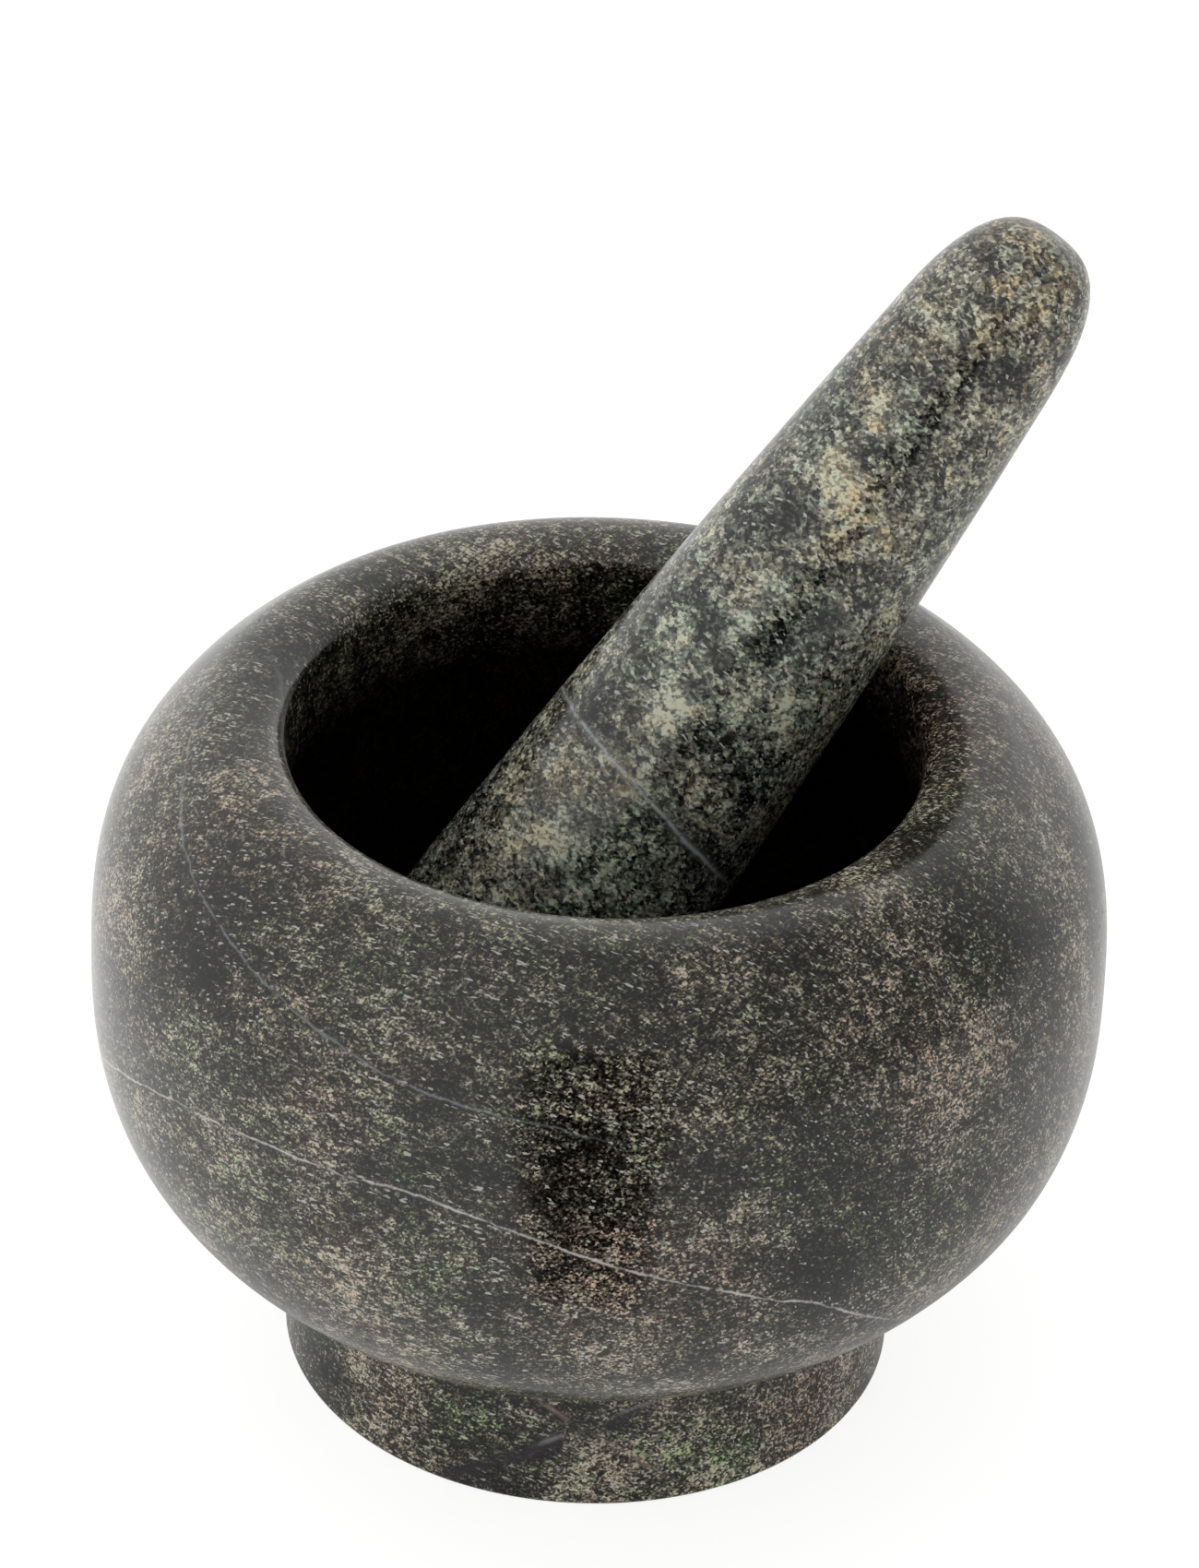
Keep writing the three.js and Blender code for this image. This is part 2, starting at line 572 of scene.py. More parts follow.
@dataclass(frozen=True)
class GraniteFinish:
    """A granite: its crystals, drifts, patches, healed cracks and finish, with a painted highlight and
    painted shade where given. Lengths in millimetres.
    """

    BROAD_SHARE: ClassVar[float] = 0.34
    BROAD_STRENGTH: ClassVar[float] = 0.6
    BROAD_WARMTH: ClassVar[float] = 0.9
    FINE_KIND_SHARE: ClassVar[float] = 0.5

    name: str
    fine: Crystals
    crossing: Crystals
    coarse: Crystals
    needles: Crystals
    shades: tuple[tuple[float, Colour], ...]
    tints: tuple[tuple[float, Colour], ...]
    needle_colour: Colour
    needle_share: float
    drifts: float
    drift_strength: float
    coarse_strength: float
    warmth: float
    kind_strength: float
    glossy: float
    dull: float
    patches: tuple[Patch, ...] = ()
    veins: tuple[Vein, ...] = ()
    place: Place = (0.0, 0.0, 0.0)
    turn: Place = (0.0, 0.0, 0.0)
    specular: float = 0.5
    relief: float = 0.12
    relief_depth: float = 0.05
    pit_colour: Colour = (0.003, 0.003, 0.003)
    crack_border: Colour = (0.012, 0.012, 0.012)
    # A painted pale highlight along the mouth's edge, if any.
    edge_highlight: EdgeHighlight | None = None
    # Painted shade in the bowl: where it starts, how far down it deepens, and its colour.
    painted_shade_top: float = 0.0
    painted_shade_depth: float = 0.0
    bowl_painted_shade: Colour = (1.0, 1.0, 1.0)

    def material(self, effects: StoneEffects) -> bpy.types.Material:
        """Wires the stone's material.

        Args:
            effects: The shared effects.

        Returns:
            The finished material.
        """
        made = bpy.data.materials.new(self.name)
        made.use_nodes = True
        w = Wiring(made.node_tree)
        here = self._own_place(w)
        fine = self._crystals(w, effects, here, self.fine)
        crossing = self._crystals(w, effects, here, self.crossing)
        coarse = self._crystals(w, effects, here, self.coarse)
        drift = self._drift(w, effects, here, self.drifts)
        broad = self._drift(w, effects, here, self.drifts * self.BROAD_SHARE)

        tone = w.maths("MULTIPLY", w.maths("ADD", fine.outputs["Tone"], crossing.outputs["Tone"]), 0.5)
        tone = self._sway(w, tone, coarse.outputs["Tone"], self.coarse_strength)
        tone = self._sway(w, tone, drift, self.drift_strength)
        tone = self._sway(w, tone, broad, self.drift_strength * self.BROAD_STRENGTH)
        warmth = self._sway(w, self.warmth, broad, self.BROAD_WARMTH)
        warmth = self._sway(w, warmth, coarse.outputs["Kind"], self.kind_strength)
        warmth = self._sway(w, warmth, fine.outputs["Kind"], self.kind_strength * self.FINE_KIND_SHARE)
        tone, warmth = self._patches(w, effects, here, tone, warmth)

        colour = w.mix(1.0, w.ramp(tone, self.shades), w.ramp(warmth, self.tints), "MULTIPLY")
        colour = self._needles(w, effects, here, colour, drift)
        inputs = {"Place": here, "Tone": tone, "Glossy": self.glossy, "Dull": self.dull}
        finish = w.add("ShaderNodeGroup", inputs, node_tree=effects.polish)
        colour = w.mix(finish.outputs["Pit"], colour, (*self.pit_colour, 1.0))
        colour = self._veins(w, effects, here, colour)
        # Painted highlight: a pale line along the mouth's edge.
        if self.edge_highlight:
            colour = self._paint_edge_highlight(w, here, colour, self.edge_highlight)
        # Painted shade: darker deep in the bowl.
        if self.painted_shade_depth:
            colour = self._paint_bowl_shade(w, here, colour)

        bump = w.add("ShaderNodeBump", {"Strength": self.relief, "Distance": self.relief_depth * MM})
        w.feed(bump.inputs["Height"], finish.outputs["Height"])
        inputs = {
            "Metallic": 0.0,
            "IOR": 1.5,
            "Specular IOR Level": self.specular,
            "Base Color": colour,
            "Roughness": finish.outputs["Roughness"],
            "Normal": bump.outputs[0],
        }
        shader = w.add("ShaderNodeBsdfPrincipled", inputs)
        w.add("ShaderNodeOutputMaterial", {"Surface": shader.outputs[0]})
        return made

    def _own_place(self, w: Wiring) -> bpy.types.NodeSocket:
        """Gives the place in the stone's own frame, so that the pattern is cut with the stone."""
        coordinates = w.add("ShaderNodeTexCoord")
        inputs = {"Vector": coordinates.outputs["Object"], "Location": self.place, "Rotation": self.turn}
        return w.add("ShaderNodeMapping", inputs, vector_type="TEXTURE").outputs[0]

    @staticmethod
    def _crystals(
        w: Wiring, effects: StoneEffects, here: bpy.types.NodeSocket, layer: Crystals
    ) -> bpy.types.Node:
        """Adds a layer of crystals.

        Args:
            w: The material's wiring.
            effects: The shared effects.
            here: The place in the stone.
            layer: The layer's sizes.

        Returns:
            The layer's node.
        """
        lie = Vector(layer.facing).to_track_quat("Z", "Y").to_euler()
        size = (layer.stretch, layer.stretch ** layer.WIDTH_POWER, 1.0)
        inputs = {"Vector": here, "Rotation": tuple(lie), "Scale": size}
        laid = w.add("ShaderNodeMapping", inputs, vector_type="TEXTURE").outputs[0]
        inputs = {"Place": laid, "Crystals per metre": layer.count, "Raggedness": layer.raggedness}
        return w.add("ShaderNodeGroup", inputs, node_tree=effects.crystals)

    @staticmethod
    def _drift(
        w: Wiring, effects: StoneEffects, here: bpy.types.NodeSocket, count: float
    ) -> bpy.types.NodeSocket:
        """Adds drifts of mineral.

        Args:
            w: The material's wiring.
            effects: The shared effects.
            here: The place in the stone.
            count: How many drifts there are to a metre.

        Returns:
            How deep in a drift the place is, from 0 to 1.
        """
        inputs = {"Place": here, "Drifts per metre": count}
        return w.add("ShaderNodeGroup", inputs, node_tree=effects.drifts).outputs["Drift"]

    @staticmethod
    def _sway(w: Wiring, value: Any, by: Any, strength: float) -> bpy.types.NodeSocket:
        """Moves a value up or down by another that runs from 0 to 1."""
        return w.maths("MULTIPLY_ADD", w.maths("SUBTRACT", by, 0.5), strength, value)

    def _patches(
        self, w: Wiring, effects: StoneEffects, here: bpy.types.NodeSocket, tone: Any, warmth: Any
    ) -> tuple[bpy.types.NodeSocket, bpy.types.NodeSocket]:
        """Lays the patches over the tone and the warmth.

        Args:
            w: The material's wiring.
            effects: The shared effects.
            here: The place in the stone.
            tone: How light the crystals are.
            warmth: How much of the warm colours they take.

        Returns:
            The new tone and the new warmth.
        """
        notches_per_metre = 130.0
        uneven = w.noise(here, notches_per_metre, detail=4.0, roughness=0.7).outputs[0]
        for patch in self.patches:
            inputs = {
                "Place": here,
                "Centre": in_metres(patch.centre),
                "Radius": patch.radius * MM,
                "Unevenness": uneven,
            }
            mask = w.add("ShaderNodeGroup", inputs, node_tree=effects.patch).outputs["Mask"]
            tone = w.maths("MULTIPLY_ADD", mask, patch.lighter, tone)
            warmth = w.maths("MULTIPLY_ADD", mask, patch.warmer, warmth)
        return tone, warmth

    def _needles(
        self, w: Wiring, effects: StoneEffects, here: Any, colour: Any, drift: Any
    ) -> bpy.types.NodeSocket:
        """Strews thin pale needles, more of them where the drifts are light.

        Args:
            w: The material's wiring.
            effects: The shared effects.
            here: The place in the stone.
            colour: The stone's colour so far.
            drift: How deep in a drift the place is.

        Returns:
            The colour with the needles.
        """
        edge, strength = 0.02, 0.75
        node = self._crystals(w, effects, here, self.needles)
        in_drifts = w.maths("MULTIPLY", drift, self.needle_share)
        least = w.maths("SUBTRACT", 1.0 - self.needle_share / 2, in_drifts)
        chosen = w.step(node.outputs["Tone"], least, w.maths("ADD", least, edge))
        return w.mix(w.maths("MULTIPLY", chosen, strength), colour, (*self.needle_colour, 1.0))

    def _veins(self, w: Wiring, effects: StoneEffects, here: Any, colour: Any) -> bpy.types.NodeSocket:
        """Draws the healed cracks over the colour, each with a dark border.

        Args:
            w: The material's wiring.
            effects: The shared effects.
            here: The place in the stone.
            colour: The stone's colour so far.

        Returns:
            The colour with the cracks.
        """
        sways_per_metre, shivers_per_metre, gaps_per_metre = 26.0, 300.0, 190.0
        shared = {
            "Place": here,
            "Sway": w.noise(here, sways_per_metre, detail=2.0).outputs[0],
            "Shiver": w.noise(here, shivers_per_metre, detail=3.0, roughness=0.65).outputs[0],
            "Gaps": w.noise(here, gaps_per_metre, detail=4.0, roughness=0.75).outputs[0],
        }
        for vein in self.veins:
            own = {
                "Facing": vein.facing,
                "Offset": vein.offset * MM,
                "Width": vein.width * MM,
                "Wander": vein.wander * MM,
                "Middle": in_metres(vein.middle),
                "Reach": vein.reach * MM,
                "Breaks": vein.breaks,
            }
            node = w.add("ShaderNodeGroup", shared | own, node_tree=effects.vein)
            colour = w.mix(node.outputs["Halo"], colour, (*self.crack_border, 1.0))
            shown = w.maths("MULTIPLY", node.outputs["Mask"], vein.strength)
            colour = w.mix(shown, colour, (*vein.colour, 1.0))
        return colour

    @staticmethod
    def _paint_edge_highlight(w: Wiring, here: Any, colour: Any, edge: EdgeHighlight) -> bpy.types.NodeSocket:
        """Paints a pale highlight on the mouth's edge, most along its inner line.

        Args:
            w: The material's wiring.
            here: The place in the stone.
            colour: The stone's colour so far.
            edge: Where the painted highlight lies.

        Returns:
            The new colour.
        """
        parts = w.add("ShaderNodeSeparateXYZ", {0: here})
        flat = w.add("ShaderNodeCombineXYZ", {0: parts.outputs[0], 1: parts.outputs[1]}).outputs[0]
        across = w.vectors("LENGTH", flat).outputs["Value"]
        line = w.step(across, edge.inner * MM, edge.line * MM, edge.LINE_STRENGTH, 0.0)
        band = w.step(across, edge.line * MM, edge.outer * MM, edge.BAND_STRENGTH, 0.0)
        away = w.vectors("DISTANCE", here, in_metres(edge.middle)).outputs["Value"]
        near = w.step(away, edge.reach * edge.FADE_FROM * MM, edge.reach * MM, 1.0, 0.0)
        high = w.maths("GREATER_THAN", parts.outputs[2], edge.above * MM)
        shown = w.maths("MULTIPLY", w.maths("MAXIMUM", line, band), w.maths("MULTIPLY", near, high))
        return w.mix(shown, colour, (*edge.colour, 1.0))

    def _paint_bowl_shade(self, w: Wiring, here: Any, colour: Any) -> bpy.types.NodeSocket:
        """Paints shade on the stone deep in the bowl: the colour darkens towards the bottom of the hollow.

        Args:
            w: The material's wiring.
            here: The place in the stone.
            colour: The stone's colour so far.

        Returns:
            The new colour.
        """
        height = w.add("ShaderNodeSeparateXYZ", {0: here}).outputs[2]
        floor = (self.painted_shade_top - self.painted_shade_depth) * MM
        deep = w.step(height, floor, self.painted_shade_top * MM, 1.0, 0.0)
        dark = w.mix(1.0, colour, (*self.bowl_painted_shade, 1.0), "MULTIPLY")
        return w.mix(deep, colour, dark)


# ---- The mortar --------------------------------------------------------------------------------


@dataclass
class Mortar:
    """The bowl and its short foot, one block of granite. Lengths in millimetres."""

    foot_radius: float = 45.8
    foot_top_radius: float = 44.8
    foot_edge: float = 0.8
    belly_radius: float = 75.0
    belly_height: float = 68.5
    reach_below: float = 56.0
    fullness_below: float = 2.55
    reach_above: float = 54.0
    fullness_above: float = 2.9
    lip_start_radius: float = 59.8
    lip_round: float = 11.0
    lip_fall: float = math.radians(16)
    mouth_radius: float = 46.4
    mouth_edge: float = 4.0
    cavity_radius: float = 47.5
    cavity_height: float = 84.0
    cavity_reach: float = 52.2
    cavity_fullness: float = 2.2
    bowl_edge_radius: float = 48.2
    bowl_edge_height: float = 98.0
    bowl_edge_facing: float = 0.35
    bowl_floor: float = 25.0
    underside_rings: tuple[float, ...] = (0.0, 12.0, 24.0, 36.0, 42.0)
    foot_rings: tuple[float, ...] = (0.25, 0.5, 0.75, 0.96)
    joint_ring: float = 0.15
    sides: int = 224
    skin: float = 0.16
    skin_patch: float = 26.0
    skin_above: float = 1.5
    piece: bpy.types.Object | None = field(default=None, init=False)

    def build(self) -> None:
        """Turns the stone and grinds its skin."""
        lathe = TurnedStone("mortar_stone", self.sides)
        belly = self._belly()
        outline = [*self._foot(), *belly, *self._lip(belly[-1]), *self._cavity()]
        self.piece = lathe.turn((across * MM, height * MM) for across, height in outline)
        lathe.grind(self.piece, self.skin * MM, self.skin_patch * MM, self.skin_above * MM)

    def dress(self, finish: GraniteFinish, bowl: GraniteFinish, effects: StoneEffects) -> None:
        """Gives the stone its granite, duller and with painted shade in the bowl, and puts it in the CAD
        body's place.

        Args:
            finish: The polished granite.
            bowl: The same granite, duller and with painted shade, as it is inside the bowl.
            effects: The shared effects.
        """
        self.piece.data.materials.append(finish.material(effects))
        self.piece.data.materials.append(bowl.material(effects))
        for face in self.piece.data.polygons:
            across = math.hypot(face.center.x, face.center.y)
            height = face.center.z / MM
            within = across < self.bowl_edge_radius * MM and height > self.bowl_floor
            rounded = height > self.bowl_edge_height and face.normal.z > self.bowl_edge_facing
            face.material_index = 1 if within and not rounded else 0
        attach(self.piece, Body.MORTAR.value)
        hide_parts("mortar")

    def _foot(self) -> list[Point]:
        """Outlines the flat underside and the foot's rounded edge."""
        edge = (self.foot_radius - self.foot_edge, self.foot_edge)
        flat = [(across, 0.0) for across in self.underside_rings]
        return flat + arc(edge, self.foot_edge, -QUARTER_TURN, 0.0, 5)

    def _belly(self) -> list[Point]:
        """Outlines the foot's side and the belly, up to where the lip starts."""
        foot_turn = math.acos(self.foot_top_radius / self.belly_radius)
        lip_turn = math.acos(self.lip_start_radius / self.belly_radius)
        below = [self._wall(-1, turn) for turn in spread(foot_turn, 0.0, 34)]
        above = [self._wall(1, turn) for turn in spread(0.0, lip_turn, 26)]
        joint = below[0]
        edge_top = (self.foot_radius, self.foot_edge)
        side = [between(edge_top, joint, share) for share in self.foot_rings]
        start = between(joint, below[1], self.joint_ring)
        return [*side, joint, start, *below[1:], *above[1:]]

    def _wall(self, side: int, turn: float) -> Point:
        """Finds a point of the belly's wall, below (-1) or above (1) its widest ring."""
        reach = self.reach_above if side > 0 else self.reach_below
        fullness = self.fullness_above if side > 0 else self.fullness_below
        across, along = rounded_point(self.belly_radius, reach, ROUND, fullness, turn)
        return across, self.belly_height + side * along

    def _lip(self, wall_end: Point) -> list[Point]:
        """Outlines the lip's crest, its fall towards the mouth and the mouth's edge.

        Args:
            wall_end: Where the belly's wall ends.

        Returns:
            The lip's points.
        """
        turn = math.acos(self.lip_start_radius / self.belly_radius)
        power = 2 / self.fullness_above
        rise = self.reach_above * power * math.sin(turn) ** (power - 1) * math.cos(turn)
        facing = math.atan2(self.belly_radius * math.sin(turn), rise)
        fall = QUARTER_TURN + self.lip_fall
        centre = (
            wall_end[0] - self.lip_round * math.cos(facing),
            wall_end[1] - self.lip_round * math.sin(facing),
        )
        crest = arc(centre, self.lip_round, facing, fall, 16)
        edge_across = self.mouth_radius + self.mouth_edge
        fall_across = edge_across + self.mouth_edge * math.cos(fall)
        fall_height = crest[-1][1] - (crest[-1][0] - fall_across) * math.tan(self.lip_fall)
        edge_centre = (edge_across, fall_height - self.mouth_edge * math.sin(fall))
        middle = ((crest[-1][0] + fall_across) / 2, (crest[-1][1] + fall_height) / 2)
        return [*crest[1:], middle, *arc(edge_centre, self.mouth_edge, fall, HALF_TURN, 10)]

    def _cavity(self) -> list[Point]:
        """Outlines the hollow, from under the mouth's edge to its round bottom."""
        radius, reach, fullness = self.cavity_radius, self.cavity_reach, self.cavity_fullness
        points = []
        for turn in spread(0.0, QUARTER_TURN, 44):
            across, along = rounded_point(radius, reach, ROUND, fullness, turn)
            points.append((across, self.cavity_height - along))
        points[-1] = (0.0, points[-1][1])
        return points


# ---- The pestle --------------------------------------------------------------------------------


@dataclass
class Pestle:
    """The loose club of granite, leaning on the mortar's rim. Lengths in millimetres."""

    length: float = 161.5
    radius: float = 21.1
    dome: float = 16.9
    tip_radius: float = 11.5
    swell: float = 1.0
    crown_reach: float = 21.7
    crown_fullness: float = 2.95
    place: Place = (-17.2, 2.5, 55.4)
    lean: float = math.radians(37.1)
    turn: float = math.radians(23.8)
    sides: int = 160
    skin: float = 0.12
    skin_patch: float = 22.0
    piece: bpy.types.Object | None = field(default=None, init=False)

    @property
    def rotation(self) -> Place:
        """How the pestle is turned from upright, as X, Y and Z angles."""
        return (0.0, self.lean, self.turn)

    def build(self) -> None:
        """Turns the stone upright, grinds it and leans it in its place."""
        lathe = TurnedStone("pestle_stone", self.sides)
        self.piece = lathe.turn((across * MM, height * MM) for across, height in self._outline())
        lathe.grind(self.piece, self.skin * MM, self.skin_patch * MM, -self.length * MM)
        self.piece.rotation_euler = Euler(self.rotation, "XYZ")
        self.piece.location = Vector(self.place) * MM
        bpy.ops.object.transform_apply(location=True, rotation=True, scale=True)

    def dress(self, finish: GraniteFinish, effects: StoneEffects) -> None:
        """Gives the stone its granite and puts it in the CAD body's place.

        Args:
            finish: The granite.
            effects: The shared effects.
        """
        self.piece.data.materials.append(finish.material(effects))
        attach(self.piece, Body.PESTLE.value)
        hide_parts("pestle")

    def _shaft_radius(self, height: float) -> float:
        """Gives the shaft's radius at a height above the dome."""
        along = height / (self.length - self.dome)
        return self.radius + (self.tip_radius - self.radius) * along + 4 * self.swell * along * (1 - along)

    def _outline(self) -> list[Point]:
        """Outlines the grinding dome, the tapering shaft and the rounded crown."""
        crown_start = self.length - self.dome - self.crown_reach
        turns = spread(QUARTER_TURN, 0.0, 24)
        dome = [rounded_point(self.radius, self.dome, ROUND, ROUND, turn) for turn in turns]
        outline = [(across, -along) for across, along in dome]
        outline[0] = (0.0, -self.dome)
        outline += [(self._shaft_radius(height), height) for height in spread(0.0, crown_start, 30)[1:-1]]
        reach, fullness = self.crown_reach, self.crown_fullness
        for turn in spread(0.0, QUARTER_TURN, 30):
            across, along = rounded_point(1.0, reach, fullness, fullness, turn)
            height = crown_start + along
            outline.append((across * self._shaft_radius(height), height))
        outline[-1] = (0.0, outline[-1][1])
        return outline


# ---- The studio --------------------------------------------------------------------------------


@dataclass
class Studio:
    """A pale floor, a soft white surround, a black flag and the camera. Lengths in metres."""

    aim: Place = (-0.00069, 0.0, 0.0979)
    distance: float = 1.1
    elevation: float = math.radians(33.86)
    tilt: float = math.radians(2.0)
    lens: float = 173.2
    sensor: float = 36.0
    floor_size: float = 8.0
    floor_gap: float = 0.05 * MM
    floor_shade: Colour = (0.3, 0.3, 0.3)
    floor_glow: float = 0.84
    floor_near: float = 0.45
    near_reach: tuple[float, float] = (0.045, 0.11)
    floor_right: float = 0.70
    right_reach: tuple[float, float] = (-0.14, 0.10)
    left: float = 1.15
    right: float = 0.50
    back: float = 1.2
    side_turn: tuple[float, float] = (-0.75, 0.75)
    back_turn: tuple[float, float] = (0.1, 0.6)
    light_colour: Colour = (1.0, 0.995, 0.98)
    flag_spread: float = math.radians(17.0)
    flag_start: float = 0.125
    flag_distance: float = 0.55
    flag_height: float = 0.46
    flag_apex: float = 0.068
    flag_lift: float = 0.4 * MM
    flag_colour: Colour = (0.004, 0.004, 0.004)

    def build(self) -> None:
        """Sets up everything around the stones."""
        self._floor()
        self._surround()
        self._flag()
        self._camera()

    def _floor(self) -> None:
        """Lays the pale floor, dimmer in the stones' reflections near the foot and to the right."""
        bpy.ops.object.select_all(action="DESELECT")
        bpy.ops.mesh.primitive_plane_add(size=self.floor_size, location=(0, 0, -self.floor_gap))
        floor = bpy.context.active_object
        floor.name = "studio_floor"
        made = bpy.data.materials.new("pale_floor")
        made.use_nodes = True
        w = Wiring(made.node_tree)
        here = w.add("ShaderNodeTexCoord").outputs["Object"]
        across = w.vectors("LENGTH", here).outputs["Value"]
        near = w.step(across, *self.near_reach, self.floor_near, 1.0)
        sideways = w.add("ShaderNodeSeparateXYZ", {0: here}).outputs[0]
        right = w.step(sideways, *self.right_reach, 1.0, self.floor_right)
        dimmed = w.maths("MULTIPLY", near, right)
        glossy = w.add("ShaderNodeLightPath").outputs["Is Glossy Ray"]
        loss = w.maths("MULTIPLY", glossy, w.maths("SUBTRACT", 1.0, dimmed))
        glow = w.maths("MULTIPLY", w.maths("SUBTRACT", 1.0, loss), self.floor_glow)
        inputs = {
            "Base Color": (*self.floor_shade, 1.0),
            "Roughness": 0.9,
            "Specular IOR Level": 0.0,
            "Emission Color": (1.0, 1.0, 1.0, 1.0),
            "Emission Strength": glow,
        }
        shader = w.add("ShaderNodeBsdfPrincipled", inputs)
        w.add("ShaderNodeOutputMaterial", {"Surface": shader.outputs[0]})
        floor.data.materials.append(made)

    def _surround(self) -> None:
        """Lights the set from all round, more from the left than from the right."""
        world = bpy.data.worlds.new("soft_surround")
        bpy.context.scene.world = world
        world.use_nodes = True
        w = Wiring(world.node_tree)
        direction = w.add("ShaderNodeTexCoord").outputs["Generated"]
        parts = w.add("ShaderNodeSeparateXYZ", {0: direction})
        front = w.step(parts.outputs[0], *self.side_turn, self.left, self.right)
        strength = w.step(parts.outputs[1], *self.back_turn, front, self.back)
        inputs = {"Color": (*self.light_colour, 1.0), "Strength": strength}
        light = w.add("ShaderNodeBackground", inputs)
        seen = w.add("ShaderNodeBackground", {"Color": (1.0, 1.0, 1.0, 1.0), "Strength": 1.0})
        path = w.add("ShaderNodeLightPath")
        inputs = {0: path.outputs["Is Camera Ray"], 1: light.outputs[0], 2: seen.outputs[0]}
        mixed = w.add("ShaderNodeMixShader", inputs)
        w.add("ShaderNodeOutputWorld", {"Surface": mixed.outputs[0]})

    def _flag(self) -> None:
        """Stands a black flag in front, which runs in along the floor and up."""
        widening = math.tan(self.flag_spread)
        bpy.ops.object.select_all(action="DESELECT")
        bpy.ops.mesh.primitive_plane_add(size=2 * MM, location=(0, -self.flag_start, self.flag_lift))
        flag = bpy.context.active_object
        flag.name = "studio_flag"
        bpy.ops.object.transform_apply(location=True, rotation=True, scale=True)
        for vertex in flag.data.vertices:
            far = self.flag_start if vertex.co.y > -self.flag_start else self.flag_distance
            half_width = (far - self.flag_apex) * widening
            vertex.co = Vector((math.copysign(half_width, vertex.co.x), -far, self.flag_lift))
        bpy.ops.object.mode_set(mode="EDIT")
        bpy.ops.mesh.select_mode(type="EDGE")
        bpy.ops.mesh.select_all(action="DESELECT")
        bpy.ops.object.mode_set(mode="OBJECT")
        for edge in flag.data.edges:
            ends = [flag.data.vertices[index].co for index in edge.vertices]
            edge.select = all(end.y < -self.flag_distance + MM for end in ends)
        bpy.ops.object.mode_set(mode="EDIT")
        bpy.ops.mesh.extrude_region_move(TRANSFORM_OT_translate={"value": (0, 0, self.flag_height)})
        bpy.ops.object.mode_set(mode="OBJECT")
        made = bpy.data.materials.new("black_flag")
        made.use_nodes = True
        w = Wiring(made.node_tree)
        inputs = {
            "Base Color": (*self.flag_colour, 1.0),
            "Roughness": 1.0,
            "Specular IOR Level": 0.0,
        }
        shader = w.add("ShaderNodeBsdfPrincipled", inputs)
        w.add("ShaderNodeOutputMaterial", {"Surface": shader.outputs[0]})
        flag.data.materials.append(made)
        flag.visible_camera = False
        flag.visible_diffuse = False
        flag.visible_shadow = False

    def _camera(self) -> None:
        """Puts the camera at the front, above the rim."""
        aim = Vector(self.aim)
        back = Vector((0.0, -math.cos(self.elevation), math.sin(self.elevation)))
        bpy.ops.object.camera_add(location=aim + back * self.distance)
        camera = bpy.context.active_object
        camera.name = "studio_camera"
        look = (-back).to_track_quat("-Z", "Y")
        camera.rotation_euler = (look @ Euler((0.0, 0.0, self.tilt)).to_quaternion()).to_euler()
        camera.data.lens = self.lens
        camera.data.sensor_width = self.sensor
        bpy.context.scene.camera = camera
        bpy.context.scene.view_settings.view_transform = "Standard"


# ---- This set's stones -------------------------------------------------------------------------

